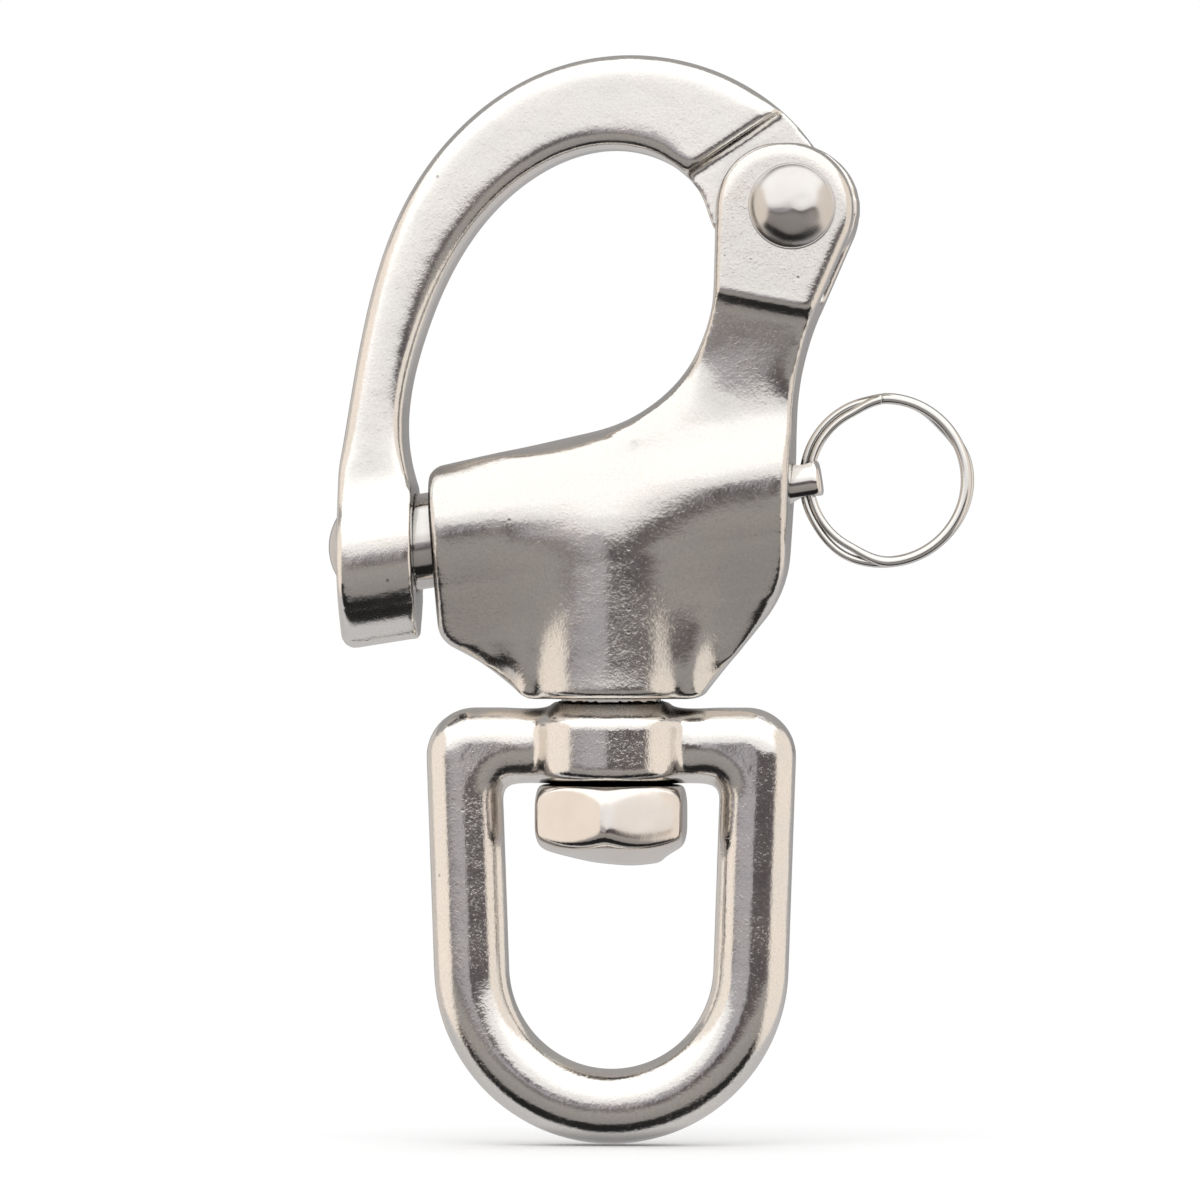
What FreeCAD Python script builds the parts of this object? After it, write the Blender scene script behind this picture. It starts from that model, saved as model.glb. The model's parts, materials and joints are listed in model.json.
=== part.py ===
import FreeCAD, Part
import math
import os
from FreeCAD import Vector

# Snap shackle with a hinged bail, a spring-loaded locking pin and a swivel eye.
# Millimetres. X runs from the locking side to the hinge side, Y through the
# thickness, Z up. The origin is on the swivel axis, at the centre of the eye's bow.

# Pin axis: leans in the XZ plane and crosses the swivel axis.
PIN_LEAN = math.radians(9.0)
PIN_CROSS_Z = 36.4

# Shackle body
BODY_BOTTOM_Z = 21.4
BARREL_R = 6.3
NECK_HALF = 4.0
NECK_BLEND_R = 6.0
NECK_START_U = 3.0
RIDGE_START_U = -6.0
FLANK_R = 14.0
FLANK_TURN = math.radians(20.0)
WEB_HALF = 4.0
BOSS_R = 6.9
EDGE_R = 1.0

# The body seen from the side, as corners (x, z, rounding radius)
BODY_OUTLINE = [
    (-14.50, 39.80, 1.4),
    (8.30, 44.95, 12.4),
    (8.80, 65.70, 5.3),
    (22.42, 65.70, 5.3),
    (14.96, 48.64, 24.0),
    (14.05, 29.98, 9.0),
    (7.15, BODY_BOTTOM_Z, 1.8),
    (-6.60, BODY_BOTTOM_Z, 1.8),
    (-10.30, 24.34, 8.0),
    (-13.63, 26.14, 2.2),
]

# Clevis
PIVOT = (14.8, 60.6)
EAR_HALF = 6.2
EAR_LEAN = math.radians(11.0)
EAR_STEP_DROP = 8.0
SLOT_HALF = 2.85
SLOT_FLOOR_DROP = 7.0

# Bail
BAIL_HALF = 4.0
TONGUE_HALF = 2.75
TONGUE_R = 5.0
TONGUE_SHOULDER = 7.0
TONGUE_SHOULDER_ANGLE = math.radians(123.7)
BLOCK_R = 6.5
BLOCK_DROP = 1.1
BLOCK_BLEND_R = 5.0
BLOCK_TOP_W = 7.5
BAIL_EDGE_R = 1.2
BLOCK_LEFT_X = -21.5
BLOCK_RIGHT_X = -15.25

# The bail's arch as (x, z) points: outside from the block to the tongue, inside back
ARCH_OUTER = [(-21.72, 39.7), (-19.88, 50.5), (-16.28, 61.3), (-6.56, 70.9),
              (1.60, 72.8), (9.88, 70.9), (16.25, 65.38)]
ARCH_INNER = [(10.70, 57.72), (8.40, 58.9), (7.50, 61.3), (5.40, 63.7), (0.56, 65.3),
              (-7.20, 62.5), (-11.60, 57.7), (-14.95, 50.5), (-16.38, 43.6), (-15.75, 38.6)]

# Pivot rivet
RIVET_R = 2.5
RIVET_RIM_R = 3.45
RIVET_RIM_T = 0.35
RIVET_DOME_R = 3.35
RIVET_DOME_H = 1.75

# Locking pin, measured along its own axis from the swivel axis
PIN_R = 3.8
PIN_TIP_U = -22.9
PIN_NOSE_R = 4.6
PIN_SHOULDER_U = -4.0
STEM_R = 1.7
STEM_END_U = 17.05
BORE_END_U = 11.2
RING_HOLE_U = 15.75
RING_HOLE_R = 0.95
RING_MOUTH_R = 1.5
RING_MOUTH_DEPTH = 0.7

# Spring
SPRING_WIRE_R = 0.35
SPRING_COIL_R = 2.75
SPRING_TURNS = 8

# Pull ring
RING_WIRE_R = 0.475
RING_R = 6.5
RING_SLACK = 0.17
RING_GAP_DEG = 1.0

# Swivel eye and bolt
EYE_BAR_R = 3.0
EYE_BAR_EDGE_R = 2.85
EYE_BOW_OUT_R = 14.2
EYE_BOW_IN_R = 8.2
EYE_FLARE = math.radians(2.0)
EYE_TOP_Z = 20.7
EYE_TOP_IN_Z = 14.6
EYE_CORNER_OUT_R = 3.9
EYE_CORNER_IN_R = 1.0
COLLAR_R = 6.5
COLLAR_TOP_R = 4.4
COLLAR_TOP_Z = 21.25
COLLAR_CONE_Z = 19.6
COLLAR_BOTTOM_Z = 14.8
BOLT_R = 4.0
BOLT_TIP_Z = 31.0
BOLT_FLATS = 11.9
BOLT_HEAD_TOP_Z = 14.6
BOLT_HEAD_BOTTOM_Z = 9.3
BOLT_DOME_H = 1.3
BOLT_CHAMFER = 1.1

# How far one solid sinks into another it joins
SINK = 0.05

# Clearances on radius
RUNNING = 0.08
FIXED = 0.02

PIN_U = Vector(math.cos(PIN_LEAN), 0, math.sin(PIN_LEAN))
PIN_W = Vector(-math.sin(PIN_LEAN), 0, math.cos(PIN_LEAN))
EAR_UP = Vector(math.sin(EAR_LEAN), 0, math.cos(EAR_LEAN))
EAR_SIDE = Vector(math.cos(EAR_LEAN), 0, -math.sin(EAR_LEAN))
ALONG_Y = Vector(0, 1, 0)
ALONG_Z = Vector(0, 0, 1)
FAR = 60.0


def flat(x, z):
    """A point of the XZ plane."""
    return Vector(x, 0, z)


def on_pin(u, w=0.0, y=0.0):
    """A point given along, above and beside the pin axis."""
    return flat(0, PIN_CROSS_Z) + PIN_U * u + PIN_W * w + ALONG_Y * y


def line(a, b):
    return Part.LineSegment(a, b).toShape()


def arc(a, b, c):
    return Part.Arc(a, b, c).toShape()


def spline(points):
    curve = Part.BSplineCurve()
    curve.interpolate(points)
    return curve.toShape()


def rounding(before, corner, after, radius):
    """Start, middle and end of the arc that rounds a corner between two straight runs."""
    back = (before - corner).normalize()
    ahead = (after - corner).normalize()
    half = back.getAngle(ahead) / 2
    inward = (back + ahead).normalize()
    cut = radius / math.tan(half)
    return corner + back * cut, corner + inward * (radius / math.sin(half) - radius), corner + ahead * cut


def rounded_outline(corners):
    """Closed edges through (x, z, radius) corners, each corner a tangent arc."""
    places = [flat(x, z) for x, z, radius in corners]
    arcs = []
    for i, (x, z, radius) in enumerate(corners):
        arcs.append(rounding(places[i - 1], places[i], places[(i + 1) % len(places)], radius))
    edges = []
    for i, (start, middle, end) in enumerate(arcs):
        edges.append(arc(start, middle, end))
        edges.append(line(end, arcs[(i + 1) % len(arcs)][0]))
    return edges


def slab(edges, half):
    """The outline's solid, running half to each side of the XZ plane."""
    face = Part.Face(Part.Wire(Part.__sortEdges__(edges)))
    face.translate(ALONG_Y * -half)
    return face.extrude(ALONG_Y * (2 * half))


def rod(start, end, radius):
    return Part.makeCylinder(radius, (end - start).Length, start, end - start)


def lathe(points, base, axis):
    """Solid of revolution from (radius, height) points joined by straight lines."""
    side = axis.cross(ALONG_Y)
    if side.Length < 0.1:
        side = Vector(1, 0, 0)
    side.normalize()
    placed = [base + side * r + axis * h for r, h in points]
    wire = Part.makePolygon(placed + placed[:1])
    return Part.Face(wire).revolve(base, axis, 360)


def half_space(point, inward, size=FAR):
    """A big block that fills the side of a plane that inward points to."""
    across = inward.cross(ALONG_Y).normalize()
    corner = point - across * size - ALONG_Y * size
    wire = Part.makePolygon([
        corner,
        corner + across * (2 * size),
        corner + across * (2 * size) + ALONG_Y * (2 * size),
        corner + ALONG_Y * (2 * size),
        corner,
    ])
    return Part.Face(wire).extrude(inward * (2 * size))


def beside_pin(side):
    """A function that places (y, w) points of a section at the far end of the pin axis."""
    def at(y, w):
        return on_pin(-FAR, w, side * y)
    return at


def barrel_section(side):
    """One side of the barrel's section: a half circle above, a straight flank and a web below."""
    at = beside_pin(side)

    def on_barrel(angle):
        return at(BARREL_R * math.cos(angle), BARREL_R * math.sin(angle))

    def on_flank(angle):
        return at(BARREL_R - FLANK_R + FLANK_R * math.cos(angle), -FLANK_R * math.sin(angle))

    turn_w = -FLANK_R * math.sin(FLANK_TURN)
    turn_y = BARREL_R - FLANK_R + FLANK_R * math.cos(FLANK_TURN)
    web_w = turn_w - (turn_y - WEB_HALF) / math.tan(FLANK_TURN)
    return [
        arc(on_barrel(math.pi / 2), on_barrel(math.pi / 4), on_barrel(0)),
        arc(on_flank(0), on_flank(FLANK_TURN / 2), on_flank(FLANK_TURN)),
        line(on_flank(FLANK_TURN), at(WEB_HALF, web_w)),
        line(at(WEB_HALF, web_w), at(WEB_HALF, -FAR / 2)),
        line(at(WEB_HALF, -FAR / 2), at(0, -FAR / 2)),
    ]


def neck_section(side):
    """One side of the neck plate's section with the hollow blend down into the barrel."""
    at = beside_pin(side)
    barrel_r = BARREL_R - SINK
    centre_y = NECK_HALF + NECK_BLEND_R
    centre_w = math.sqrt((barrel_r + NECK_BLEND_R) ** 2 - centre_y ** 2)
    lean = math.atan2(centre_w, centre_y)

    def on_blend(angle):
        return at(centre_y - NECK_BLEND_R * math.cos(angle), centre_w - NECK_BLEND_R * math.sin(angle))

    return [
        line(at(0, FAR), at(NECK_HALF, FAR)),
        line(at(NECK_HALF, FAR), on_blend(0)),
        arc(on_blend(0), on_blend(lean / 2), on_blend(lean)),
        line(on_blend(lean), at(0, 0)),
    ]


def ridge():
    """A wedge of the round-edged plate, from the barrel's crown to the neck's thickness."""
    half = NECK_HALF - SINK
    tip = on_pin(RIDGE_START_U)
    end_u = NECK_START_U + SINK
    wire = Part.makePolygon([tip, on_pin(end_u, 0, half), on_pin(end_u, 0, -half), tip])
    plate = rounded_slab(rounded_outline(BODY_OUTLINE), half)
    return plate.common(Part.Face(wire).extrude(PIN_W * FAR))


def layer(low_y, high_y):
    """Everything round the clevis between two depths."""
    return Part.makeBox(2 * FAR, high_y - low_y, 2 * FAR, flat(*PIVOT) + Vector(-FAR, low_y, -FAR))


def swept_section(section, direction):
    """The solid of a mirrored half section, pushed along direction."""
    edges = section(1) + section(-1)
    face = Part.Face(Part.Wire(Part.__sortEdges__(edges)))
    return face.extrude(direction * (2 * FAR))


def ear_section(side):
    """One side of the ears' section: full thickness above, scooped to the neck below."""
    top = flat(*PIVOT) - EAR_SIDE * FAR
    depth = EAR_HALF - NECK_HALF + SINK
    run = math.sqrt(NECK_BLEND_R ** 2 - (NECK_BLEND_R - depth) ** 2)

    def at(y, rise):
        return top + EAR_UP * rise + ALONG_Y * (side * y)

    low = -EAR_STEP_DROP - run
    half = math.asin(run / NECK_BLEND_R) / 2
    middle_y = EAR_HALF - depth + NECK_BLEND_R * (1 - math.cos(half))
    middle = at(middle_y, low + NECK_BLEND_R * math.sin(half))
    return [
        line(at(0, FAR), at(EAR_HALF + SINK, FAR)),
        line(at(EAR_HALF + SINK, FAR), at(EAR_HALF + SINK, -EAR_STEP_DROP)),
        line(at(EAR_HALF + SINK, -EAR_STEP_DROP), at(EAR_HALF, -EAR_STEP_DROP)),
        arc(at(EAR_HALF, -EAR_STEP_DROP), middle, at(EAR_HALF - depth, low)),
        line(at(EAR_HALF - depth, low), at(0, low)),
    ]


def joined(first, second):
    """Both solids as one; stops if the result has lost some of either."""
    both = first.fuse(second)
    expected = first.Volume + second.Volume - first.common(second).Volume
    if abs(both.Volume - expected) > 0.01 * expected:
        raise RuntimeError("a solid was lost while joining")
    return both


def kept_whole(shape, rounded):
    """True where rounding has left a valid solid of nearly the same volume."""
    return rounded.isValid() and 0.9 * shape.Volume < rounded.Volume < 1.1 * shape.Volume


def soften(shape, radius, chosen):
    """Rounds the edges that chosen picks, all together or, if that fails, one by one."""
    edges = [e for e in shape.Edges if chosen(e)]
    try:
        rounded = shape.makeFillet(radius, edges)
        if kept_whole(shape, rounded):
            return rounded
    except Part.OCCError:
        pass
    for middle in [e.CenterOfMass for e in edges]:
        near = [e for e in shape.Edges if (e.CenterOfMass - middle).Length < 1e-4]
        if not near:
            continue
        try:
            rounded = shape.makeFillet(radius, near)
        except Part.OCCError:
            print("edge left sharp at", middle)
            continue
        if kept_whole(shape, rounded):
            shape = rounded
        else:
            print("edge left sharp, invalid, at", middle)
    return shape


def runs_across(edge):
    """True for a straight edge that runs through the thickness."""
    ends = edge.Vertexes[-1].Point - edge.Vertexes[0].Point
    return abs(ends.y) > 0.99 * edge.Length


def on_rim(edge, outline_faces):
    """True for an edge that lies on the outline's side wall and isn't through the thickness."""
    if runs_across(edge):
        return False
    points = [edge.valueAt(edge.FirstParameter + (edge.LastParameter - edge.FirstParameter) * t)
              for t in (0.25, 0.5, 0.75)]
    return all(outline_faces.distToShape(Part.Vertex(p))[0] < 1e-3 for p in points)


def rounded_slab(edges, half, radius=EDGE_R):
    """A slab whose face edges are rounded."""
    return soften(slab(edges, half), radius, lambda e: not runs_across(e))


def shackle_body():
    outline = slab(rounded_outline(BODY_OUTLINE), FAR / 4)
    walls = Part.Compound([f for f in outline.Faces if abs(f.normalAt(0, 0).y) < 0.5])
    neck = swept_section(neck_section, PIN_U).common(half_space(on_pin(NECK_START_U), PIN_U))
    body = outline.common(swept_section(barrel_section, PIN_U).fuse(neck)).removeSplitter()
    body = soften(body, EDGE_R, lambda e: on_rim(e, walls))
    ears = rounded_slab(rounded_outline(BODY_OUTLINE), EAR_HALF)
    ears = ears.common(swept_section(ear_section, EAR_SIDE))
    boss = Part.makeCylinder(BOSS_R, PIN_CROSS_Z - BODY_BOTTOM_Z, flat(0, BODY_BOTTOM_Z), ALONG_Z)
    boss = soften(boss, EDGE_R, lambda e: (e.CenterOfMass - flat(0, BODY_BOTTOM_Z)).Length < 0.1)
    for piece in (ears, boss, ridge()):
        body = joined(body, piece)
    body = body.removeSplitter()

    pivot = flat(*PIVOT)
    floor = pivot - EAR_UP * SLOT_FLOOR_DROP
    slot = half_space(floor, EAR_UP, FAR / 2).common(layer(-SLOT_HALF, SLOT_HALF))
    holes = [
        slot,
        rod(pivot - ALONG_Y * FAR, pivot + ALONG_Y * FAR, RIVET_R + FIXED),
        rod(on_pin(-FAR), on_pin(BORE_END_U), PIN_R + RUNNING),
        rod(on_pin(0), on_pin(FAR), STEM_R + RUNNING),
        rod(flat(0, 0), flat(0, BOLT_TIP_Z + FIXED), BOLT_R + FIXED),
    ]
    return body.cut(holes)


def bail_outline(bottom_w):
    """The arch above and the block's straight sides, closed along the pin at bottom_w."""
    outer = [flat(*p) for p in ARCH_OUTER]
    inner = [flat(*p) for p in ARCH_INNER]
    pivot = flat(*PIVOT)
    outer[-1] = pivot + (outer[-1] - pivot).normalize() * TONGUE_R
    inner[0] = pivot + (inner[0] - pivot).normalize() * TONGUE_R
    far_side = pivot + Vector(math.cos(-PIN_LEAN * 2), 0, math.sin(-PIN_LEAN * 2)) * TONGUE_R

    def bottom(x):
        return flat(x, PIN_CROSS_Z + x * math.tan(PIN_LEAN) + bottom_w / math.cos(PIN_LEAN))

    return [
        spline(outer),
        arc(outer[-1], far_side, inner[0]),
        spline(inner),
        line(inner[-1], bottom(BLOCK_RIGHT_X)),
        line(bottom(BLOCK_RIGHT_X), bottom(BLOCK_LEFT_X)),
        line(bottom(BLOCK_LEFT_X), outer[0]),
    ]


def bail_section(side):
    """One side of the bail's section: plain above, swelling to a barrel round the pin."""
    centre_y = BAIL_HALF + BLOCK_BLEND_R
    rise = math.sqrt((BLOCK_R + BLOCK_BLEND_R) ** 2 - centre_y ** 2)
    lean = math.atan2(rise, centre_y)

    beside = beside_pin(side)

    def at(y, w):
        return beside(y, w - BLOCK_DROP)

    def on_block(angle):
        return at(BLOCK_R * math.cos(angle), BLOCK_R * math.sin(angle))

    def on_blend(angle):
        return at(centre_y - BLOCK_BLEND_R * math.cos(angle), rise - BLOCK_BLEND_R * math.sin(angle))

    return [
        line(at(0, FAR), at(BAIL_HALF, FAR)),
        line(at(BAIL_HALF, FAR), on_blend(0)),
        arc(on_blend(0), on_blend(lean / 2), on_blend(lean)),
        arc(on_block(lean), on_block(0), on_block(-math.pi / 2)),
    ]


def bail():
    arch = rounded_slab(bail_outline(-BLOCK_R / 2), BAIL_HALF, BAIL_EDGE_R)
    outline = slab(bail_outline(-BLOCK_R * 2), FAR / 4)
    walls = Part.Compound([f for f in outline.Faces if abs(f.normalAt(0, 0).y) < 0.5])
    below = half_space(on_pin(0, BLOCK_TOP_W), PIN_W * -1, FAR / 2)
    block = outline.common(swept_section(bail_section, PIN_U)).common(below)
    block = soften(block, EDGE_R, lambda e: on_rim(e, walls))
    body = joined(arch, block)

    pivot = flat(*PIVOT)
    outward = Vector(math.cos(TONGUE_SHOULDER_ANGLE), 0, math.sin(TONGUE_SHOULDER_ANGLE))
    hinge_side = half_space(pivot + outward * TONGUE_SHOULDER, outward * -1, TONGUE_R * 3)
    cheeks = [hinge_side.common(layer(TONGUE_HALF, FAR)), hinge_side.common(layer(-FAR, -TONGUE_HALF))]
    holes = [
        rod(on_pin(-FAR), on_pin(0), PIN_R + RUNNING),
        rod(pivot - ALONG_Y * FAR, pivot + ALONG_Y * FAR, RIVET_R + RUNNING),
    ]
    return body.cut(cheeks + holes).removeSplitter()


def pivot_rivet():
    """A shank with a domed head on each side, each dome on a thin round rim."""
    sphere_r = (RIVET_DOME_R ** 2 + RIVET_DOME_H ** 2) / (2 * RIVET_DOME_H)
    shape = rod(flat(*PIVOT) - ALONG_Y * EAR_HALF, flat(*PIVOT) + ALONG_Y * EAR_HALF, RIVET_R)
    for side in (-1, 1):
        face = flat(*PIVOT) + ALONG_Y * (side * EAR_HALF)
        out = ALONG_Y * side
        rim = rod(face, face + out * RIVET_RIM_T, RIVET_RIM_R)
        rim = soften(rim, 0.15, lambda e: abs(e.CenterOfMass.y) > EAR_HALF + RIVET_RIM_T - 1e-3)
        top = face + out * (RIVET_RIM_T + RIVET_DOME_H)
        ball = Part.makeSphere(sphere_r, top - out * sphere_r)
        dome = ball.common(rod(face + out * RIVET_RIM_T, top + out, RIVET_RIM_R))
        shape = shape.fuse([rim, dome])
    return shape.removeSplitter()


def locking_pin():
    """A domed pin turned in one piece with its thin stem, cross-drilled for the ring."""
    nose = Part.makeSphere(PIN_NOSE_R, on_pin(PIN_TIP_U + PIN_NOSE_R))
    head = rod(on_pin(PIN_TIP_U), on_pin(PIN_SHOULDER_U), PIN_R)
    back = rod(on_pin(PIN_TIP_U + PIN_NOSE_R), on_pin(FAR), FAR / 4)
    head = head.common(nose.fuse(back))
    head = soften(head, 0.3, lambda e: (e.CenterOfMass - on_pin(PIN_SHOULDER_U)).Length < 0.1)
    stem = rod(on_pin(PIN_SHOULDER_U - 1), on_pin(STEM_END_U), STEM_R)
    stem = soften(stem, 0.7, lambda e: (e.CenterOfMass - on_pin(STEM_END_U)).Length < 0.1)
    hole_centre = on_pin(RING_HOLE_U)
    drilled = [rod(hole_centre - PIN_W * FAR, hole_centre + PIN_W * FAR, RING_HOLE_R)]
    for way in (PIN_W, PIN_W * -1):
        base = hole_centre + way * (STEM_R - RING_MOUTH_DEPTH)
        drilled.append(Part.makeCone(RING_HOLE_R, RING_MOUTH_R, RING_MOUTH_DEPTH, base, way))
    return head.fuse(stem).cut(drilled).removeSplitter()


def plunger_spring():
    """A round-wire compression spring between the pin's shoulder and the bore's end."""
    start = PIN_SHOULDER_U + SPRING_WIRE_R + RUNNING
    length = BORE_END_U - SPRING_WIRE_R - RUNNING - start
    helix = Part.makeHelix(length / SPRING_TURNS, length, SPRING_COIL_R)
    wire = Part.Wire(helix.Edges)
    circle = Part.Circle(Vector(SPRING_COIL_R, 0, 0), ALONG_Y, SPRING_WIRE_R)
    profile = Part.Wire([circle.toShape()])
    coil = wire.makePipeShell([profile], True, True)
    coil.Placement = FreeCAD.Placement(on_pin(start), FreeCAD.Rotation(ALONG_Z, PIN_U))
    return coil


def pull_ring():
    """A wire ring, butted with a fine gap at its top, through the stem's cross hole."""
    hole = on_pin(RING_HOLE_U)
    centre = hole + Vector(RING_R - RING_SLACK, 0, 0)
    start = centre + Vector(0, 0, RING_R)
    circle = Part.Circle(start, Vector(1, 0, 0), RING_WIRE_R)
    face = Part.Face(Part.Wire([circle.toShape()]))
    face.rotate(centre, ALONG_Y, RING_GAP_DEG / 2)
    return face.revolve(centre, ALONG_Y, 360 - RING_GAP_DEG)


def eye_outline(bow_r, top_z, corner_r):
    """A bow closed by flaring legs and a straight bar, as edges."""
    side = math.cos(EYE_FLARE) * bow_r
    low = -math.sin(EYE_FLARE) * bow_r
    top_x = side + (top_z - low) * math.tan(EYE_FLARE)
    turn = (math.pi / 2 + EYE_FLARE) / 2
    cut = corner_r / math.tan(math.pi / 2 - turn)
    leg = Vector(math.sin(EYE_FLARE), 0, math.cos(EYE_FLARE))
    corner = flat(top_x, top_z)
    leg_end = corner - leg * cut
    bar_end = corner - Vector(cut, 0, 0)
    inward = ((leg_end - corner).normalize() + Vector(-1, 0, 0)).normalize()
    middle = corner + inward * (corner_r / math.cos(turn) - corner_r)

    def other(p):
        return Vector(-p.x, 0, p.z)

    right = flat(side, low)
    return [
        arc(other(right), flat(0, -bow_r), right),
        line(right, leg_end),
        arc(leg_end, middle, bar_end),
        line(bar_end, other(bar_end)),
        arc(other(bar_end), other(middle), other(leg_end)),
        line(other(leg_end), other(right)),
    ]


def swivel_eye():
    """The round-bar eye with the collar that turns on the bolt."""
    outer = slab(eye_outline(EYE_BOW_OUT_R, EYE_TOP_Z, EYE_CORNER_OUT_R), EYE_BAR_R)
    inner = slab(eye_outline(EYE_BOW_IN_R, EYE_TOP_IN_Z, EYE_CORNER_IN_R), EYE_BAR_R * 2)
    frame = outer.cut(inner)
    frame = soften(frame, EYE_BAR_EDGE_R, lambda e: not runs_across(e))
    collar = rod(flat(0, COLLAR_BOTTOM_Z), flat(0, COLLAR_CONE_Z), COLLAR_R)
    cone = Part.makeCone(COLLAR_R, COLLAR_TOP_R, COLLAR_TOP_Z - COLLAR_CONE_Z, flat(0, COLLAR_CONE_Z), ALONG_Z)
    collar = collar.fuse(cone)
    for height, radius in ((COLLAR_BOTTOM_Z, 1.0), (COLLAR_CONE_Z, 1.0), (COLLAR_TOP_Z, 0.6)):
        collar = soften(collar, radius, lambda e: (e.CenterOfMass - flat(0, height)).Length < 0.01)
    eye = frame.fuse(collar)
    bore = rod(flat(0, COLLAR_BOTTOM_Z - 1), flat(0, COLLAR_TOP_Z + 1), BOLT_R + RUNNING)
    return eye.cut(bore)


def swivel_bolt():
    """A hexagon-head bolt: shank through the collar, threaded part in the body's boss."""
    corner_r = BOLT_FLATS / math.sqrt(3)
    ring = [Vector(corner_r * math.cos(a), corner_r * math.sin(a), 0)
            for a in (math.radians(30 + 60 * i) for i in range(6))]
    wire = Part.makePolygon(ring + ring[:1])
    bottom = BOLT_HEAD_BOTTOM_Z - BOLT_DOME_H
    prism = Part.Face(wire).extrude(ALONG_Z * (BOLT_HEAD_TOP_Z - bottom))
    prism.translate(flat(0, bottom))
    flat_r = BOLT_FLATS / 2
    envelope = lathe([
        (0, bottom),
        (flat_r * 0.45, bottom + BOLT_DOME_H * 0.22),
        (flat_r * 0.9, BOLT_HEAD_BOTTOM_Z),
        (corner_r, BOLT_HEAD_BOTTOM_Z + BOLT_CHAMFER),
        (corner_r, BOLT_HEAD_TOP_Z - BOLT_CHAMFER),
        (flat_r * 0.97, BOLT_HEAD_TOP_Z),
        (0, BOLT_HEAD_TOP_Z),
    ], Vector(0, 0, 0), ALONG_Z)
    head = prism.common(envelope)
    shank = rod(flat(0, BOLT_HEAD_TOP_Z - 1), flat(0, BOLT_TIP_Z), BOLT_R)
    shank = soften(shank, 0.5, lambda e: (e.CenterOfMass - flat(0, BOLT_TIP_Z)).Length < 0.1)
    return head.fuse(shank).removeSplitter()


NODES = {
    "shackle_body": shackle_body,
    "bail": bail,
    "pivot_rivet": pivot_rivet,
    "locking_pin": locking_pin,
    "plunger_spring": plunger_spring,
    "pull_ring": pull_ring,
    "swivel_eye": swivel_eye,
    "swivel_bolt": swivel_bolt,
}

os.makedirs("parts", exist_ok=True)
for name, make in NODES.items():
    solid = make()
    solid.exportStep("parts/" + name + ".step")
    print(name, solid.isValid(), len(solid.Solids), round(solid.Volume, 1))
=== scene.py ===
import json
import math

import bpy
import numpy as np
from mathutils import Matrix, Vector


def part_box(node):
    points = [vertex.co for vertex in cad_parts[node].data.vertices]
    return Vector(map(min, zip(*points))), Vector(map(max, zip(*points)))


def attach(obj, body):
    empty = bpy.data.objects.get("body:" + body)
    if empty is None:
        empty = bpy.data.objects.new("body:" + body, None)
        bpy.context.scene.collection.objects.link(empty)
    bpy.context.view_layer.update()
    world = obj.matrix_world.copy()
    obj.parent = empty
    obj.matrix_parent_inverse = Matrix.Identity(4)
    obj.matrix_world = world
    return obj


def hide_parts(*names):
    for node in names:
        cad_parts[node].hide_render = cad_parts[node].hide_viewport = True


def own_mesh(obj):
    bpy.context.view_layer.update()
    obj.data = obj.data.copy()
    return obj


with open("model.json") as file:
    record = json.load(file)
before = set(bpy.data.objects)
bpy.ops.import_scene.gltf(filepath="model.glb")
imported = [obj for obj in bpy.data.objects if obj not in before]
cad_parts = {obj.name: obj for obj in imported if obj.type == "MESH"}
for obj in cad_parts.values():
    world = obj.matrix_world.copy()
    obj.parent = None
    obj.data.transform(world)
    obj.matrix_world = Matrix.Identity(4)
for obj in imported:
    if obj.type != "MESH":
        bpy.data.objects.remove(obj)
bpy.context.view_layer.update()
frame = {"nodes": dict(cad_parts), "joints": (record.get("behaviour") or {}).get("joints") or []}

# Shared places, in millimetres. Shapes are worked in millimetres and scaled to metres at the end.

MM = 0.001
JOINTS = {joint["name"]: joint for joint in frame["joints"]}
X_WAY = np.array([1.0, 0.0, 0.0])
Y_WAY = np.array([0.0, 1.0, 0.0])
PIN_U = np.array(JOINTS["pin_pull"]["axis"])  # along the locking pin, towards its ring
PIN_W = np.array([-PIN_U[2], 0.0, PIN_U[0]])  # square to the pin, upwards
PIN_CROSS = np.array(JOINTS["pin_spin"]["pos_m"]) / MM  # where the pin crosses the swivel's axis
PIVOT = np.array(JOINTS["bail_pivot"]["pos_m"]) / MM
EAR_LEAN = math.radians(11.0)
EAR_UP = np.array([math.sin(EAR_LEAN), 0.0, math.cos(EAR_LEAN)])
STEP_TURN = math.radians(123.7)
STEP_OUT = np.array([math.cos(STEP_TURN), 0.0, math.sin(STEP_TURN)])  # from the pivot to the bail's step
STEP_AWAY = 7.0

VOXEL = 0.25
BOLT_VOXEL = 0.14


# Mesh helpers

def step(x, low, high):
    """Smooth rise from 0 at low to 1 at high; falls if high is below low."""
    t = np.clip((x - low) / (high - low), 0.0, 1.0)
    return t * t * (3 - 2 * t)


def band(x, centre, half):
    """A smooth bump, 1 at centre and 0 beyond half."""
    return step(np.abs(x - centre), half, 0.0)


def vertex_array(mesh):
    flat = np.zeros(len(mesh.vertices) * 3, np.float32)
    mesh.vertices.foreach_get("co", flat)
    return flat.reshape(-1, 3).astype(float)


def edge_array(mesh):
    flat = np.zeros(len(mesh.edges) * 2, np.int32)
    mesh.edges.foreach_get("vertices", flat)
    return flat.reshape(-1, 2)


def sideways(mesh):
    """How far each vertex faces along Y, from 0 to 1."""
    flat = np.zeros(len(mesh.vertices) * 3, np.float32)
    mesh.vertex_normals.foreach_get("vector", flat)
    return np.abs(flat.reshape(-1, 3)[:, 1])


def neighbour_counts(edges, points):
    return np.bincount(edges.ravel(), minlength=len(points)).astype(float)


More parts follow.
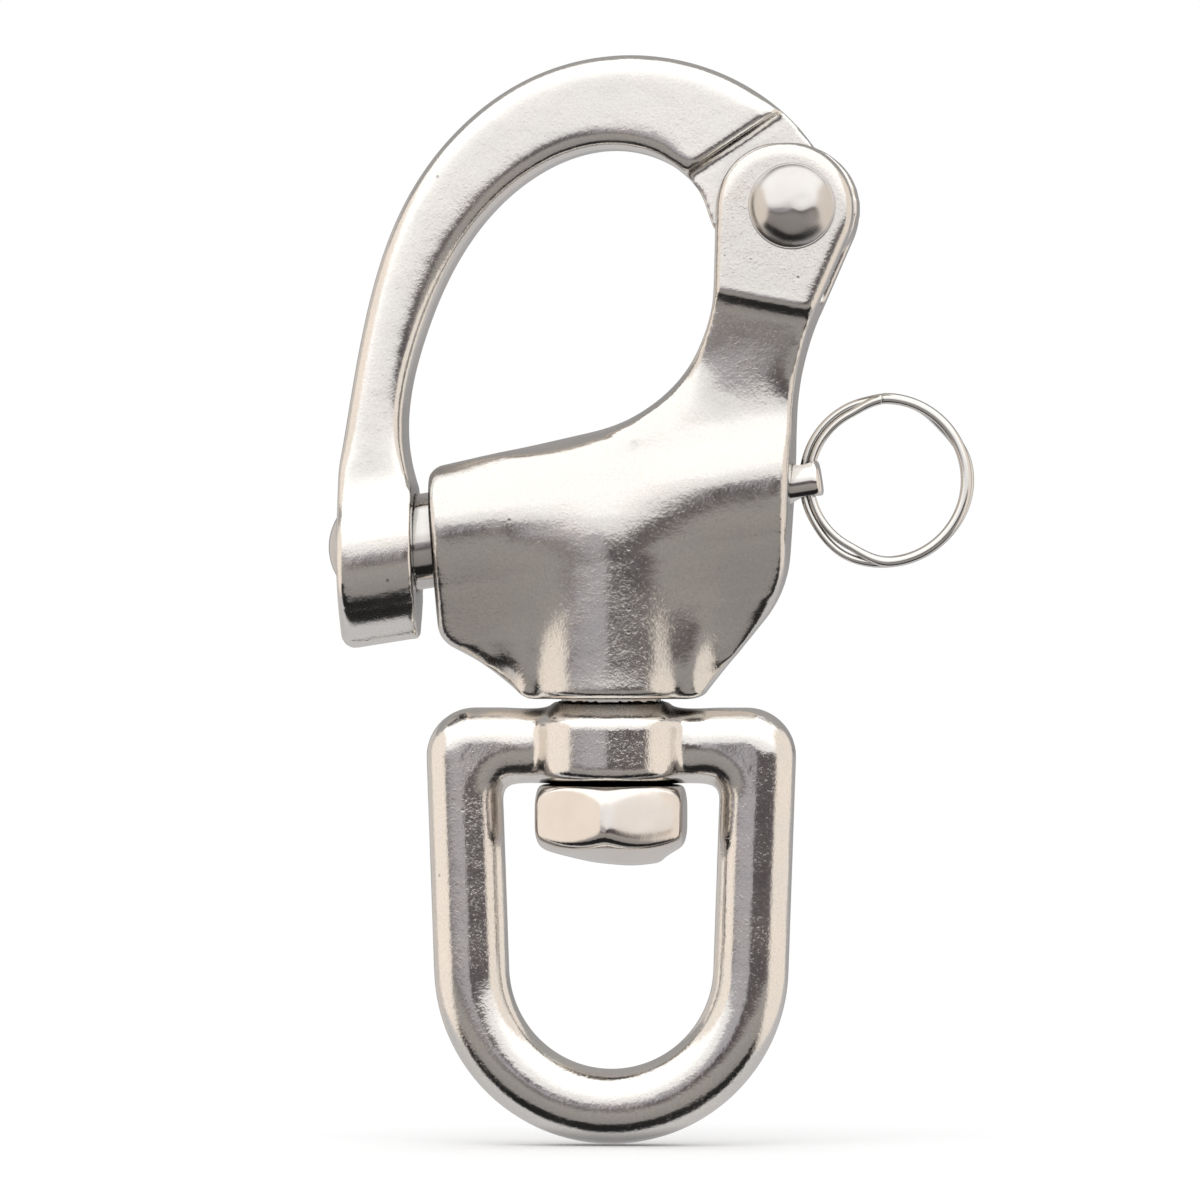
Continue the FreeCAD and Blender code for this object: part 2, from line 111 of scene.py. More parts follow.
def neighbour_mean(points, edges, count):
    total = np.empty_like(points)
    for k in range(3):
        a = np.bincount(edges[:, 0], points[edges[:, 1], k], len(points))
        b = np.bincount(edges[:, 1], points[edges[:, 0], k], len(points))
        total[:, k] = a + b
    return total / count[:, None]


def relax(points, edges, weight, times):
    """Rounds the surface where weight is above 0."""
    count = neighbour_counts(edges, points)
    w = (0.5 * weight)[:, None]
    for _ in range(times):
        points = points + w * (neighbour_mean(points, edges, count) - points)
    return points


def even_out(points, edges, times):
    """Takes out the fine steps left by remeshing, with no shrinking."""
    count = neighbour_counts(edges, points)
    for _ in range(times):
        for w in (0.5, -0.52):
            points = points + w * (neighbour_mean(points, edges, count) - points)
    return points


def remeshed(name, node, voxel):
    """A copy of a CAD node's surface, in millimetres, as an even skin of small quads."""
    mesh = frame["nodes"][node].data.copy()
    mesh.transform(Matrix.Diagonal((1 / MM, 1 / MM, 1 / MM, 1.0)))
    obj = bpy.data.objects.new(name, mesh)
    bpy.context.scene.collection.objects.link(obj)
    weld = obj.modifiers.new("weld", "WELD")
    weld.merge_threshold = 0.0005
    remesh = obj.modifiers.new("remesh", "REMESH")
    remesh.mode = "VOXEL"
    remesh.voxel_size = voxel
    graph = bpy.context.evaluated_depsgraph_get()
    skin = bpy.data.meshes.new_from_object(obj.evaluated_get(graph))
    obj.modifiers.clear()
    obj.data = skin
    obj.name = name
    skin.name = name
    return obj


def settle(obj, points, body, material, node):
    """Writes the millimetre points back in metres and hands the piece to the frame."""
    mesh = obj.data
    mesh.vertices.foreach_set("co", (points * MM).astype(np.float32).ravel())
    mesh.polygons.foreach_set("use_smooth", np.ones(len(mesh.polygons), bool))
    mesh.update()
    mesh.materials.clear()
    mesh.materials.append(material)
    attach(obj, body)
    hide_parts(node)


# Materials

class Graph:
    """Short calls for building a shader graph."""

    def __init__(self, owner):
        owner.use_nodes = True
        self.tree = owner.node_tree
        self.tree.nodes.clear()

    def plug(self, socket, value):
        if isinstance(value, bpy.types.NodeSocket):
            self.tree.links.new(value, socket)
        else:
            socket.default_value = value

    def node(self, kind, inputs=None, **settings):
        made = self.tree.nodes.new(kind)
        for key, value in settings.items():
            setattr(made, key, value)
        for key, value in (inputs or {}).items():
            self.plug(made.inputs[key], value)
        return made

    def math(self, operation, a, b=0.0, c=0.0):
        return self.node("ShaderNodeMath", {0: a, 1: b, 2: c}, operation=operation).outputs[0]

    def times(self, a, b):
        return self.math("MULTIPLY", a, b)

    def less(self, value):
        return self.math("SUBTRACT", 1.0, value)

    def vector(self, operation, a, b=None):
        inputs = {0: a} if b is None else {0: a, 1: b}
        return self.node("ShaderNodeVectorMath", inputs, operation=operation).outputs

    def noise(self, coord, scale, detail=2.0, rough=0.5, distortion=0.0):
        inputs = {"Vector": coord, "Scale": scale, "Detail": detail,
                  "Roughness": rough, "Distortion": distortion}
        return self.node("ShaderNodeTexNoise", inputs).outputs["Fac"]

    def remap(self, value, a, b, low, high, smooth=False):
        kind = "SMOOTHSTEP" if smooth else "LINEAR"
        inputs = {"Value": value, "From Min": a, "From Max": b, "To Min": low, "To Max": high}
        return self.node("ShaderNodeMapRange", inputs, interpolation_type=kind).outputs["Result"]

    def rise(self, value, start, end):
        """Smooth change from 0 at start to 1 at end."""
        return self.remap(value, start, end, 0.0, 1.0, True)

    def mix(self, factor, a, b, blend="MIX"):
        made = self.node("ShaderNodeMix", data_type="RGBA", blend_type=blend)
        for key, value in (("Factor", factor), ("A", a), ("B", b)):
            self.plug([s for s in made.inputs if s.name == key and s.enabled][0], value)
        return [s for s in made.outputs if s.enabled][0]

    def grey(self, value):
        return self.node("ShaderNodeCombineColor", {0: value, 1: value, 2: value}).outputs[0]

    def metal(self, colour, roughness, normal):
        inputs = {"Base Color": colour, "Metallic": 1.0, "Roughness": roughness, "Normal": normal}
        shader = self.node("ShaderNodeBsdfPrincipled", inputs)
        self.node("ShaderNodeOutputMaterial", {"Surface": shader.outputs[0]})


def painted_gap_shade(g, reach=0.0025, darkest=0.42):
    """Painted shade in gaps and corners, from ambient occlusion: 1 in the open, darkest in a tight crevice.
    """
    open_sky = g.node("ShaderNodeAmbientOcclusion", {"Distance": reach}, samples=8).outputs["AO"]
    return g.remap(open_sky, 0.12, 0.60, darkest, 1.0, True)


def pits(g, coord):
    """Small round casting pits, in about a tenth of the cells of a Voronoi pattern."""
    cells = g.node("ShaderNodeTexVoronoi", {"Vector": coord, "Scale": 520.0})
    draw = g.node("ShaderNodeSeparateColor", {"Color": cells.outputs["Color"]}).outputs[0]
    chosen = g.math("GREATER_THAN", draw, 0.90)
    return g.times(g.rise(cells.outputs["Distance"], 0.10, 0.04), chosen)


def drooping(g, coord, droop, full_below):
    """The shading normal, leaning down by droop under the height full_below (m)."""
    fading = 0.006
    facing = g.node("ShaderNodeNewGeometry").outputs["Normal"]
    height = g.node("ShaderNodeSeparateXYZ", {0: coord}).outputs[2]
    lowered = g.remap(height, full_below, full_below + fading, -droop, 0.0, True)
    down = g.node("ShaderNodeCombineXYZ", {2: lowered}).outputs[0]
    return g.vector("NORMALIZE", g.vector("ADD", facing, down)[0])[0]


def cast_steel(name, tint, grain, roughness, droop=0.0, full_below=1.0):
    """Semi-polished cast stainless steel: fine grain, soft waviness, pits, smoother edges, and painted
    shade in pits, concave corners and gaps.
    """
    fine_bump, speck_bump, coarse_bump = 0.8e-5, 0.45e-5, 1.1e-5
    wave_bump, pit_bump = 3.5e-5, -1.6e-5
    material = bpy.data.materials.new(name)
    g = Graph(material)
    coord = g.node("ShaderNodeTexCoord").outputs["Object"]
    point = g.node("ShaderNodeNewGeometry").outputs["Pointiness"]
    edge = g.rise(point, 0.515, 0.56)
    crevice = g.rise(point, 0.47, 0.40)
    fine = g.noise(coord, 5200.0, 1.0)
    coarse = g.noise(coord, 1900.0, 1.0)
    wavy = g.noise(coord, 420.0, 1.0)
    patch = g.noise(coord, 190.0, 3.0, 0.6)
    specks = g.rise(g.noise(coord, 3600.0, 2.0, 0.6, 0.4), 0.56, 0.70)
    pit = pits(g, coord)

    calm = g.less(g.times(edge, 0.85))
    coat = g.times(g.remap(patch, 0.35, 0.65, 0.6, 1.3, True), calm)
    height = g.times(g.times(fine, coat), grain * fine_bump)
    height = g.math("MULTIPLY_ADD", g.times(specks, coat), grain * speck_bump, height)
    height = g.math("MULTIPLY_ADD", coarse, grain * coarse_bump, height)
    height = g.math("MULTIPLY_ADD", wavy, wave_bump, height)
    height = g.math("MULTIPLY_ADD", pit, pit_bump, height)
    leaning = drooping(g, coord, droop, full_below)
    bump = g.node("ShaderNodeBump", {"Height": height, "Distance": 1.0, "Strength": 1.0, "Normal": leaning})

    shade = g.times(g.remap(fine, 0.3, 0.7, 0.95, 1.03), g.remap(patch, 0.3, 0.7, 0.96, 1.03))
    # Painted shade: the colour is darkened in pits, in concave corners and, by ambient occlusion, in gaps.
    shade = g.times(shade, g.less(g.times(pit, 0.4)))
    shade = g.times(shade, g.less(g.times(crevice, 0.5)))
    shade = g.times(shade, painted_gap_shade(g))
    warmer = (tint[0] * 1.01, tint[1] * 0.985, tint[2] * 0.965, 1.0)
    warm = g.mix(g.remap(patch, 0.4, 0.7, 0.0, 1.0), (*tint, 1.0), warmer)
    colour = g.mix(1.0, warm, g.grey(shade), "MULTIPLY")
    rough = g.remap(patch, 0.3, 0.7, roughness * 0.8, roughness * 1.25)
    rough = g.times(rough, g.remap(edge, 0.0, 1.0, 1.0, 0.75))
    g.metal(colour, rough, bump.outputs[0])
    return material


def turned_steel(name, tint, roughness, axis, lines=1.0):
    """Polished turned or drawn steel with faint lathe lines round the axis, light wear, and painted shade
    in gaps.
    """
    line_bump, fine_bump, dent_bump = 0.6e-6, 2.2e-6, 1.2e-5
    # Near-black colour of the painted shade in gaps and corners.
    gap_shade_colour = (0.03, 0.028, 0.027, 1.0)
    material = bpy.data.materials.new(name)
    g = Graph(material)
    coord = g.node("ShaderNodeTexCoord").outputs["Object"]
    along = g.vector("DOT_PRODUCT", coord, axis)["Value"]
    rings = g.noise(g.node("ShaderNodeCombineXYZ", {0: along}).outputs[0], 9000.0, 2.0, 0.7)
    fine = g.noise(coord, 5200.0, 2.0, 0.6)
    patch = g.noise(coord, 260.0, 3.0, 0.6)
    dent = g.noise(coord, 600.0, 1.0, 0.4)
    height = g.times(rings, lines * line_bump)
    height = g.math("MULTIPLY_ADD", fine, fine_bump, height)
    height = g.math("MULTIPLY_ADD", dent, dent_bump, height)
    bump = g.node("ShaderNodeBump", {"Height": height, "Distance": 1.0, "Strength": 1.0})
    shade = g.remap(patch, 0.3, 0.7, 0.93, 1.04)
    worn = (tint[0] * 0.88, tint[1] * 0.86, tint[2] * 0.84, 1.0)
    colour = g.mix(g.remap(shade, 0.9, 1.05, 0.0, 1.0), worn, (*tint, 1.0))
    # Painted shade: the near-black colour is mixed in where ambient occlusion finds gaps and corners.
    colour = g.mix(painted_gap_shade(g), gap_shade_colour, colour)
    rough = g.remap(patch, 0.3, 0.7, roughness * 0.7, roughness * 1.5)
    g.metal(colour, rough, bump.outputs[0])
    return material


WARM = (0.76, 0.74, 0.715)
DUSKY = (0.70, 0.68, 0.655)
DROOP = 0.09
body_steel = cast_steel("body_steel", DUSKY, 1.0, 0.17, DROOP, full_below=0.031)
bail_steel = cast_steel("bail_steel", WARM, 0.75, 0.17)
eye_steel = cast_steel("eye_steel", WARM, 0.85, 0.13, DROOP)
rivet_steel = turned_steel("rivet_polish", (0.63, 0.61, 0.595), 0.2, (0, 1, 0), 0.5)
pin_steel = turned_steel("pin_polish", (0.77, 0.75, 0.73), 0.09, tuple(PIN_U))
spring_steel = turned_steel("spring_wire_steel", (0.62, 0.61, 0.60), 0.2, tuple(PIN_U))
ring_steel = turned_steel("ring_wire_steel", (0.72, 0.71, 0.69), 0.12, (1, 0, 0), 0.3)
bolt_steel = turned_steel("bolt_polish", (0.78, 0.745, 0.71), 0.1, (0, 0, 1), 0.3)


# Castings

BARREL_R = 6.3  # the barrel's radius
CREST = 5.7  # height of the barrel's top above the pin's axis
WEB_HALF = 4.0  # half thickness of the web under the barrel


def pulled_in(y, amount):
    """Both flanks moved towards the middle plane by amount; y near 0 stays."""
    return y - np.sign(y) * amount * step(np.abs(y), 1.0, 3.5)


def crown_ratio(above, along):
    """Widening that carries the barrel's round up to the casting's sloping top edge."""
    top = CREST + 0.085 * np.clip(along + 14.0, 0.0, 20.0)
    seen = np.clip(above, 0.0, CREST)
    return np.sqrt((BARREL_R ** 2 - (seen * CREST / top) ** 2) / (BARREL_R ** 2 - seen ** 2))


def web_ratio(above):
    """Thinning of the web towards the bottom of the casting."""
    web = 5.456 - 0.364 * np.clip(-4.79 - above, 0.0, 12.0)
    return np.where(above < -8.8, np.clip(web / WEB_HALF, 0.65, 1.0), 1.0)


def neck_depths(rise):
    """Half thickness of the CAD neck under the ears, and of the casting's fuller hollow."""
    arc_r, low, floor = 6.0, -12.68, 3.95
    span = np.clip(rise - low, 0.0, 4.68)
    cad = floor + arc_r - np.sqrt(arc_r ** 2 - span ** 2)
    heights = [-18.0, -15.0, -13.5, -12.0, -10.5, -9.0, -8.45, -7.8, -7.6]
    depths = [4.40, 4.46, 4.56, 4.74, 5.00, 5.33, 5.62, 6.17, 6.2]
    return np.maximum(cad, WEB_HALF), np.interp(rise, heights, depths)


def make_body():
    obj = remeshed("shackle_body_cast", "shackle_body", VOXEL)
    edges = edge_array(obj.data)
    p = even_out(vertex_array(obj.data), edges, 6)
    facing = sideways(obj.data)
    depth = np.abs(p[:, 1])
    radial = np.hypot(p[:, 0], p[:, 1])
    above = (p - PIN_CROSS) @ PIN_W
    along = (p - PIN_CROSS) @ PIN_U
    rise = (p - PIVOT) @ EAR_UP
    outer = step(radial, 4.3, 4.6) * step(np.hypot(p[:, 1], above), 4.1, 4.4)  # clear of both bores

    # The boss flows into the barrel.
    boss = step(radial, 10.5, 8.5) * step(radial, 5.0, 6.0) * step(depth, 1.0, 2.0)
    boss *= step(p[:, 2], 41.0, 36.5) * step(p[:, 2], 21.8, 23.4) * outer
    p = relax(p, edges, boss, 260)

    # The barrel's crown follows the top edge, and the flanks lean in below.
    crown = step(along, -13.5, -9.0) * step(along, 6.0, 2.5) * step(above, 1.5, 4.0)
    p[:, 1] *= 1 + (crown_ratio(above, along) - 1) * crown
    off_boss = step(radial, 7.5, 11.5)
    p[:, 1] *= 1 + (web_ratio(above) - 1) * off_boss * outer
    under = np.clip(3.0 - above, 0.0, 2.0)
    lean = 0.07 * under * under / 2 + 0.14 * np.clip(1.0 - above, 0.0, 5.0)
    p[:, 1] = pulled_in(p[:, 1], lean * (0.4 + 0.6 * off_boss) * outer)

    # The crown's end blends into the neck.
    seam = step(along, -8.0, -4.0) * step(along, 11.0, 7.0) * step(depth, 0.0, 1.0)
    seam *= step(above, 3.5, 5.0) * step(above, 13.0, 9.0)
    p = relax(p, edges, seam, 90)
    corner = band(along, 2.5, 4.5) * band(above, 5.5, 4.0) * step(depth, 0.5, 1.5)
    p = relax(p, edges, corner, 170)

    # The neck is hollowed under the ears, with a soft floor and a crisp top edge.
    cad, cast = neck_depths(rise)
    fuller = step(rise, -7.4, -7.6) * step(above, 3.6, 7.5)
    p[:, 1] *= 1 + (cast / cad - 1) * fuller
    hollow = step(rise, -11.0, -12.5) * step(above, 3.0, 5.0) * step(facing, 0.72, 0.88)
    p = relax(p, edges, hollow, 90)
    scoop = step(rise, -7.7, -8.3) * step(above, 5.0, 7.0) * step(depth, 3.0, 3.6)
    p = relax(p, edges, scoop, 10)
    p = even_out(p, edges, 8)
    settle(obj, p, "body", body_steel, "shackle_body")


def make_bail():
    obj = remeshed("bail_cast", "bail", VOXEL)
    edges = edge_array(obj.data)
    p = even_out(vertex_array(obj.data), edges, 6)
    from_step = (p - PIVOT) @ STEP_OUT - STEP_AWAY
    above = (p - PIN_CROSS) @ PIN_W

    # The arm's edges are well rounded, most of all at its lower left.
    arm = step(from_step, 0.8, 3.0)
    left = step(p[:, 0], -2.0, -8.0)
    arm = np.maximum(arm, left) * step(above, 4.0, 10.0)
    p = relax(p, edges, arm * 0.55, 60)
    notch = band(from_step, 0.0, 1.6) * step(p[:, 0], 0.0, 2.0) * step(np.abs(p[:, 1]), 3.2, 3.8)
    p = relax(p, edges, notch, 14)
    lower_left = arm * step(p[:, 0], -4.0, -16.0) * step(p[:, 2], 66.0, 52.0)
    p = relax(p, edges, lower_left, 50)

    # The block round the pin's hole leans in below.
    under = np.clip(2.5 - above, 0.0, 2.0)
    lean = 0.08 * under * under / 2 + 0.16 * np.clip(0.5 - above, 0.0, 5.0)
    outer = step(np.hypot(p[:, 1], above), 4.2, 4.5)
    p[:, 1] = pulled_in(p[:, 1], lean * outer)
    p = even_out(p, edges, 6)
    settle(obj, p, "bail", bail_steel, "bail")


def make_eye():
    obj = remeshed("swivel_eye_cast", "swivel_eye", VOXEL)
    edges = edge_array(obj.data)
    p = even_out(vertex_array(obj.data), edges, 6)
    seam = band(np.abs(p[:, 0]), 6.5, 2.4) * step(p[:, 2], 13.0, 15.0)
    seam *= step(np.hypot(p[:, 0], p[:, 1]), 4.5, 5.2)
    p = relax(p, edges, seam, 45)
    corner = band(np.abs(p[:, 0]), 9.0, 2.0) * band(p[:, 2], 14.5, 2.5)
    p = relax(p, edges, corner, 8)
    p = even_out(p, edges, 8)
    settle(obj, p, "eye", eye_steel, "swivel_eye")


# Turned and bent parts

def mesh_object(name, points, faces):
    mesh = bpy.data.meshes.new(name)
    mesh.from_pydata([tuple(p) for p in points], [], faces)
    obj = bpy.data.objects.new(name, mesh)
    bpy.context.scene.collection.objects.link(obj)
    return obj


def wire_section(middle, out, side, radius, corners):
    """A ring of points round middle, in the plane of out and side."""
    turns = np.linspace(0, 2 * math.pi, corners + 1)[:-1]
    return [middle + out * (radius * math.cos(b)) + side * (radius * math.sin(b)) for b in turns]


def tube(rings):
    """Points and quads of a closed skin through equal rings of points, with a fan at each end."""
    count = len(rings[0])
    points = [p for ring in rings for p in ring]
    faces = []
    for i in range(len(rings) - 1):
        for j in range(count):
            k = (j + 1) % count
            faces.append((i * count + j, i * count + k, (i + 1) * count + k, (i + 1) * count + j))
    for first, order in ((0, -1), ((len(rings) - 1) * count, 1)):
        centre = len(points)
        points.append(np.mean(rings[0] if first == 0 else rings[-1], axis=0))
        for j in range(count):
            pair = (first + j, first + (j + 1) % count)
            faces.append((pair[0], pair[1], centre)[::order])
    return points, faces


def rounded_profile(corners, pieces=6):
    """(radius, height) points through corners (radius, height, rounding)."""
    out = []
    flat = [np.array(c[:2], float) for c in corners]
    for i, (_, _, rounding) in enumerate(corners):
        if rounding == 0 or i in (0, len(corners) - 1):
            out.append(flat[i])
            continue
        back = flat[i - 1] - flat[i]
        ahead = flat[i + 1] - flat[i]
        back /= np.linalg.norm(back)
        ahead /= np.linalg.norm(ahead)
        start, end = flat[i] + back * rounding, flat[i] + ahead * rounding
        for t in np.linspace(0, 1, pieces):
            out.append((1 - t) ** 2 * start + 2 * t * (1 - t) * flat[i] + t * t * end)
    return out


def lathe(profile, base, axis, across, segments=96):
    """Rings of points of a shape turned about the axis."""
    other = np.cross(axis, across)
    turn = [2 * math.pi * j / segments for j in range(segments)]
    rings = []
    for r, h in profile:
        middle = base + axis * h
        rings.append([middle + across * (r * math.cos(a)) + other * (r * math.sin(a)) for a in turn])
    return rings


def make_rivet():
    """A shank with a domed, hammered head on each side."""
    ear_y, rim, top, dome_r = 6.2, 0.3, 2.1, 3.38
    dents = [(0.9, 0.5, 1.1, 0.09), (-1.3, 0.9, 1.3, 0.06)]  # x, z, width and depth
    dents += [(0.1, -1.5, 1.2, 0.07), (1.7, -0.9, 0.9, 0.05)]
    corners = [(2.5, ear_y - 0.02, 0.0), (3.3, ear_y, 0.05), (3.48, ear_y + 0.12, 0.08)]
    corners += [(3.46, ear_y + rim, 0.06), (dome_r, ear_y + rim + 0.03, 0.0)]
    profile = rounded_profile(corners)
    ball = (dome_r ** 2 + (top - rim) ** 2) / (2 * (top - rim))
    for a in np.linspace(math.asin(dome_r / ball), 0.02, 22):
        profile.append(np.array([ball * math.sin(a), ear_y + top - ball * (1 - math.cos(a))]))
    mirrored = [np.array([r, -h]) for r, h in profile[::-1]]
    rings = np.array(lathe(mirrored + profile, PIVOT, Y_WAY, X_WAY))
    offset = rings - PIVOT
    on_dome = np.abs(offset[..., 1]) > ear_y + 0.4
    for x, z, wide, deep in dents:
        away = np.hypot(offset[..., 0] - x, offset[..., 2] - z)
        rings[..., 1] -= np.sign(offset[..., 1]) * deep * step(away, wide, 0.0) * on_dome
    points, faces = tube([list(r) for r in rings])
    obj = mesh_object("pivot_rivet_set", points, faces)
    settle(obj, np.array(points), "body", rivet_steel, "pivot_rivet")


def make_ring():
    """A split ring: two turns of wire side by side, whose front end shows at the top.

    Where it passes the stem's hole, the turns lie closer and thinner, to clear the casting.
    """
    low, high = (np.array(v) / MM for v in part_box("pull_ring"))
    wire, apart = 0.44, 0.40
    radius = (high[2] - low[2]) / 2 - wire
    centre = (low + high) / 2
    start = math.pi / 2 + 0.03
    turns = 2 * math.pi * 2
    end_stations = [(0.0, 0.80), (0.05, 0.94), (0.12, 1.0)]  # distance from an end, share of full size
    travel = [(d / radius, share) for d, share in end_stations]
    travel += [(a, 1.0) for a in np.linspace(0.05, turns - 0.05, 420)]
    travel += [(turns - d / radius, share) for d, share in end_stations[::-1]]
    rings = []
    for a, share in travel:
        angle = start + a
        here = math.degrees(angle) % 360
        behind = step(np.array(a), math.pi * 1.86, math.pi * 2.14)  # 0 on the front turn, 1 on the back
        in_hole = float(step(np.abs(here - 180.0), 95.0, 62.0))
        depth = (apart - 0.26 * in_hole) * (2 * behind - 1)
        loose = 0.24 * band(here, 243.0, 34.0) + 0.16 * band((here + 90) % 360, 88.0, 50.0)
        loose -= 0.22 * band(here, 42.0, 30.0)
        stacked = in_hole * 0.58 * (behind - 1.0)
        out = np.array([math.cos(angle), 0.0, math.sin(angle)])
        middle = centre + out * (radius + loose * behind + stacked) + Y_WAY * depth
        rings.append(wire_section(middle, out, Y_WAY, (wire - 0.12 * in_hole) * share, 24))
    points, faces = tube(rings)
    obj = mesh_object("pull_ring_wire", points, faces)
    settle(obj, np.array(points), "ring", ring_steel, "pull_ring")


def make_spring():
    """A round-wire spring with closed end coils."""
    start, end, coil_r, wire_r, coils, per_coil = -3.57, 10.77, 2.75, 0.35, 9, 40
    other = np.cross(PIN_U, PIN_W)
    rings = []
    for i in range(coils * per_coil + 1):
        t = i / (coils * per_coil)
        turn = t * coils * 2 * math.pi
        rise = np.interp(t, [0, 1 / coils, 1 - 1 / coils, 1], [0.0, 0.052, 0.948, 1.0])
        out = PIN_W * math.cos(turn) + other * math.sin(turn)
        middle = PIN_CROSS + PIN_U * (start + rise * (end - start)) + out * coil_r
        rings.append(wire_section(middle, out, PIN_U, wire_r, 16))
    points, faces = tube(rings)
    obj = mesh_object("plunger_spring_wire", points, faces)
    settle(obj, np.array(points), "spring", spring_steel, "plunger_spring")
    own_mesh(obj)


def make_bolt():
    """The hexagon head with softened edges and a domed face whose crown is off centre."""
    obj = remeshed("swivel_bolt_head", "swivel_bolt", BOLT_VOXEL)
    edges = edge_array(obj.data)
    p = even_out(vertex_array(obj.data), edges, 6)
    head = step(p[:, 2], 15.0, 14.4)
    p = relax(p, edges, head, 60)
    p = even_out(p, edges, 4)
    below = np.clip((9.3 - p[:, 2]) / 1.3, 0.0, 1.0)
    p[:, 0] += 1.7 * below * step(np.abs(p[:, 0]), 7.5, 2.0)
    settle(obj, p, "body", bolt_steel, "swivel_bolt")


# Surroundings

def make_floor():
    """A pale disc just under the object, which fades into the backdrop."""
    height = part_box("swivel_eye")[0].z - 0.0001
    bpy.ops.mesh.primitive_circle_add(vertices=96, radius=0.45, fill_type="NGON", location=(0, 0, height))
    floor = bpy.context.object
    floor.name = "floor"
    floor.visible_glossy = False
    material = bpy.data.materials.new("pale_floor")
    g = Graph(material)
    coord = g.node("ShaderNodeTexCoord").outputs["Object"]
    fade = g.rise(g.vector("LENGTH", coord)["Value"], 0.30, 0.05)
    tone = g.remap(g.noise(coord, 900.0, 3.0), 0.0, 1.0, 0.975, 0.99)
    paint = g.node("ShaderNodeBsdfDiffuse", {"Color": g.grey(tone)})
    clear = g.node("ShaderNodeBsdfTransparent")
    surface = g.node("ShaderNodeMixShader", {0: fade, 1: clear.outputs[0], 2: paint.outputs[0]})
    g.node("ShaderNodeOutputMaterial", {"Surface": surface.outputs[0]})
    floor.data.materials.append(material)


def make_lamp():
    """A broad soft light overhead, which only softens the shadow on the floor."""
    lamp = bpy.data.lights.new("soft_top", "AREA")
    lamp.shape = "DISK"
    lamp.size = 0.5
    lamp.energy = 0.6
    obj = bpy.data.objects.new("soft_top", lamp)
    bpy.context.scene.collection.objects.link(obj)
    obj.location = (-0.1, -0.15, 0.7)
    aim = Vector((0, 0, 0.03)) - obj.location
    obj.rotation_euler = aim.to_track_quat("-Z", "Y").to_euler()
    obj.visible_glossy = False


# Brightness round the horizontal axis, in degrees up from the lens: -90 is below, 90 overhead
STOPS = [
    (-180, (0.34, 0.33, 0.33)), (-165, (0.60, 0.59, 0.59)), (-95, (0.72, 0.71, 0.71)),
    (-88, (0.02, 0.02, 0.02)), (-64, (0.02, 0.02, 0.02)), (-58, (0.34, 0.32, 0.31)),
    (-26, (0.42, 0.40, 0.38)), (-18, (0.12, 0.10, 0.105)), (-8, (0.09, 0.08, 0.085)),
    (-5, (1.06, 1.04, 1.04)), (6, (1.16, 1.15, 1.14)), (20, (1.5, 1.5, 1.48)),
    (98, (1.6, 1.6, 1.58)), (105, (0.46, 0.45, 0.44)), (165, (0.40, 0.39, 0.385)),
    (180, (0.34, 0.33, 0.33)),
]
LAVENDER = (0.50, 0.48, 0.505, 1.0)
BEIGE_RIGHT = (1.05, 0.96, 0.87, 1.0)
BEIGE_BEHIND = (0.70, 0.66, 0.62, 1.0)
BEIGE_LEFT = (1.12, 1.02, 0.92, 1.0)


def height_ramp(g, phi):
    """The colour for the angle phi. A ramp holds no more than 1, so it stores halves."""
    ramp = g.node("ShaderNodeValToRGB", {0: g.remap(phi, -180.0, 180.0, 0.0, 1.0)})
    elements = ramp.color_ramp.elements
    while len(elements) > 1:
        elements.remove(elements[-1])
    for i, (degrees, colour) in enumerate(STOPS):
        place = (degrees + 180) / 360
        element = elements[0] if i == 0 else elements.new(place)
        element.position = place
        element.color = (*[c / 2 for c in colour], 1.0)
    return g.mix(1.0, ramp.outputs[0], (2.0, 2.0, 2.0, 1.0), "MULTIPLY")


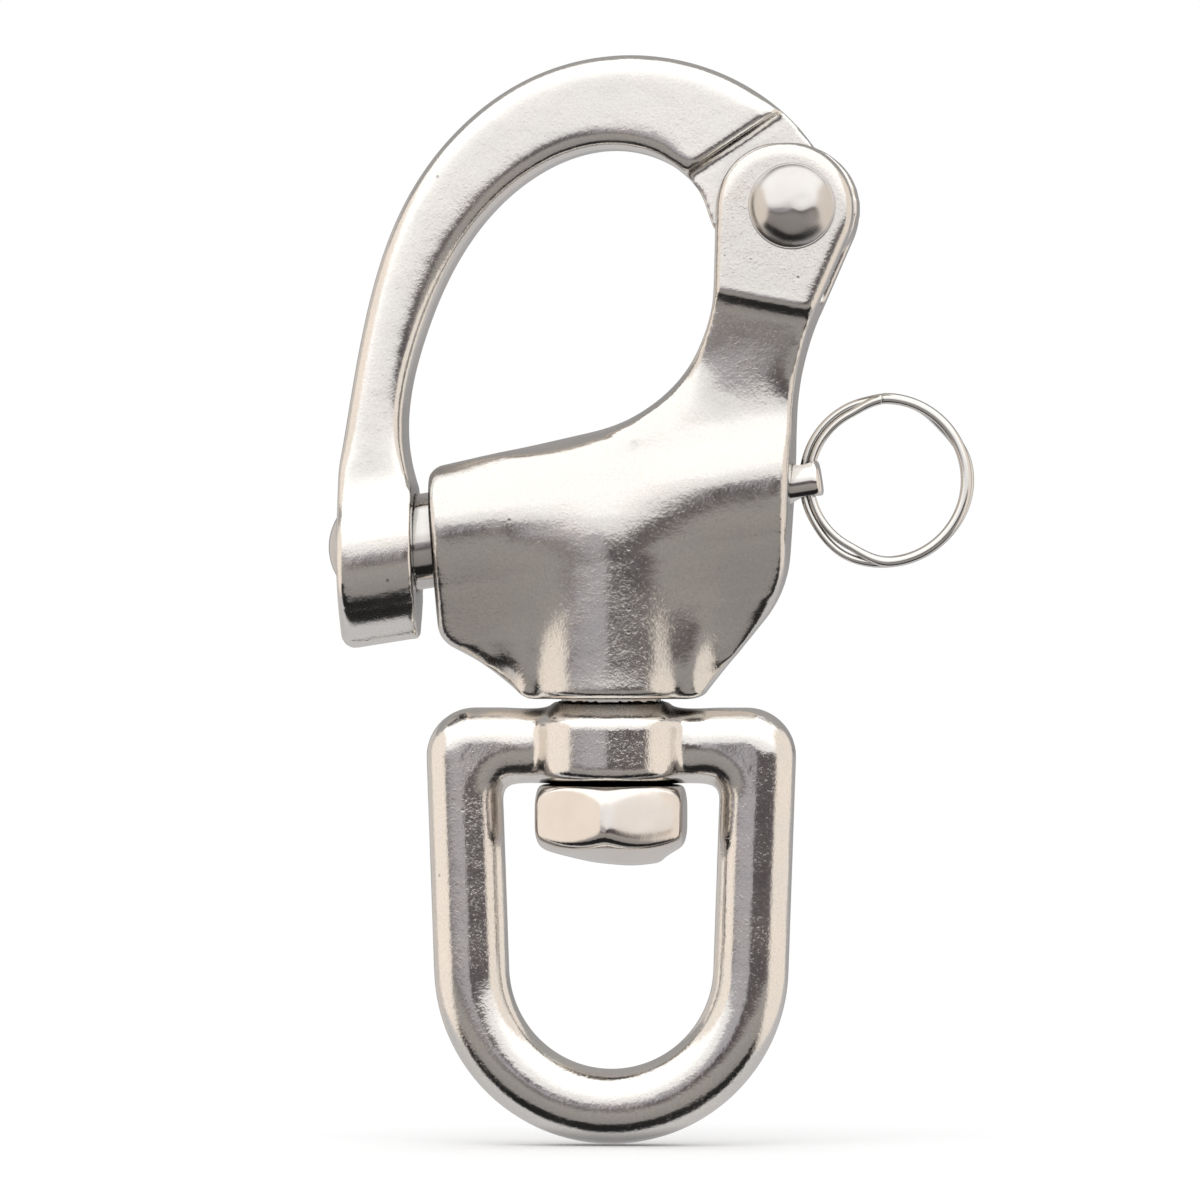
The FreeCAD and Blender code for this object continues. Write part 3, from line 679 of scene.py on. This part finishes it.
def make_studio():
    """Studio walls seen in the steel. They turn with the camera: bright above, dark below the lens."""
    world = bpy.data.worlds.new("studio")
    bpy.context.scene.world = world
    g = Graph(world)
    direction = g.node("ShaderNodeTexCoord").outputs["Generated"]
    turned = g.node("ShaderNodeVectorTransform", {"Vector": direction}, vector_type="VECTOR",
                    convert_from="WORLD", convert_to="CAMERA")
    side, up, away = g.node("ShaderNodeSeparateXYZ", {0: turned.outputs[0]}).outputs
    toward = g.times(away, -1.0)
    phi = g.math("DEGREES", g.math("ARCTAN2", up, toward))
    alpha = g.math("DEGREES", g.math("ARCTAN2", side, toward))
    colour = height_ramp(g, phi)

    left_low = g.times(g.rise(alpha, -4.0, -9.0), g.rise(alpha, -75.0, -60.0))
    near_level = g.times(g.rise(phi, -20.0, -15.0), g.rise(phi, -2.0, -5.0))
    colour = g.mix(g.times(left_low, near_level), colour, LAVENDER)
    colour = g.mix(g.rise(side, 0.74, 0.84), colour, BEIGE_RIGHT)
    behind = g.times(g.rise(side, -0.30, -0.45), g.rise(away, 0.0, 0.1))
    behind = g.times(behind, g.rise(g.math("ABSOLUTE", up), 0.35, 0.25))
    colour = g.mix(behind, colour, BEIGE_BEHIND)
    colour = g.mix(g.rise(side, -0.82, -0.90), colour, BEIGE_LEFT)

    path = g.node("ShaderNodeLightPath")
    studio = g.node("ShaderNodeBackground", {"Color": colour, "Strength": 1.0})
    plain = g.node("ShaderNodeBackground", {"Color": (1.0, 1.0, 1.0, 1.0), "Strength": 1.0})
    reflected = path.outputs["Is Glossy Ray"]
    both = g.node("ShaderNodeMixShader", {0: reflected, 1: plain.outputs[0], 2: studio.outputs[0]})
    g.node("ShaderNodeOutputWorld", {"Surface": both.outputs[0]})
    world.cycles.sampling_method = "NONE"


def make_camera():
    """Level with the object's middle, a little to the right of the flat face's normal."""
    frame_width, distance, azimuth = 0.096, 0.9, math.radians(4.0)
    target = Vector((-0.0009, 0.0, 0.0293))
    data = bpy.data.cameras.new("camera")
    data.sensor_width = 36.0
    data.lens = data.sensor_width * distance / frame_width
    data.clip_start = 0.01
    camera = bpy.data.objects.new("camera", data)
    bpy.context.scene.collection.objects.link(camera)
    camera.location = target + distance * Vector((math.sin(azimuth), -math.cos(azimuth), 0.0))
    camera.rotation_euler = (target - camera.location).to_track_quat("-Z", "Y").to_euler()
    bpy.context.scene.camera = camera
    bpy.context.scene.view_settings.view_transform = "Standard"


make_body()
make_bail()
make_eye()
make_rivet()
make_ring()
make_spring()
make_bolt()

pin_mesh = frame["nodes"]["locking_pin"].data
pin_mesh.materials.clear()
pin_mesh.materials.append(pin_steel)

make_floor()
make_lamp()
make_studio()
make_camera()
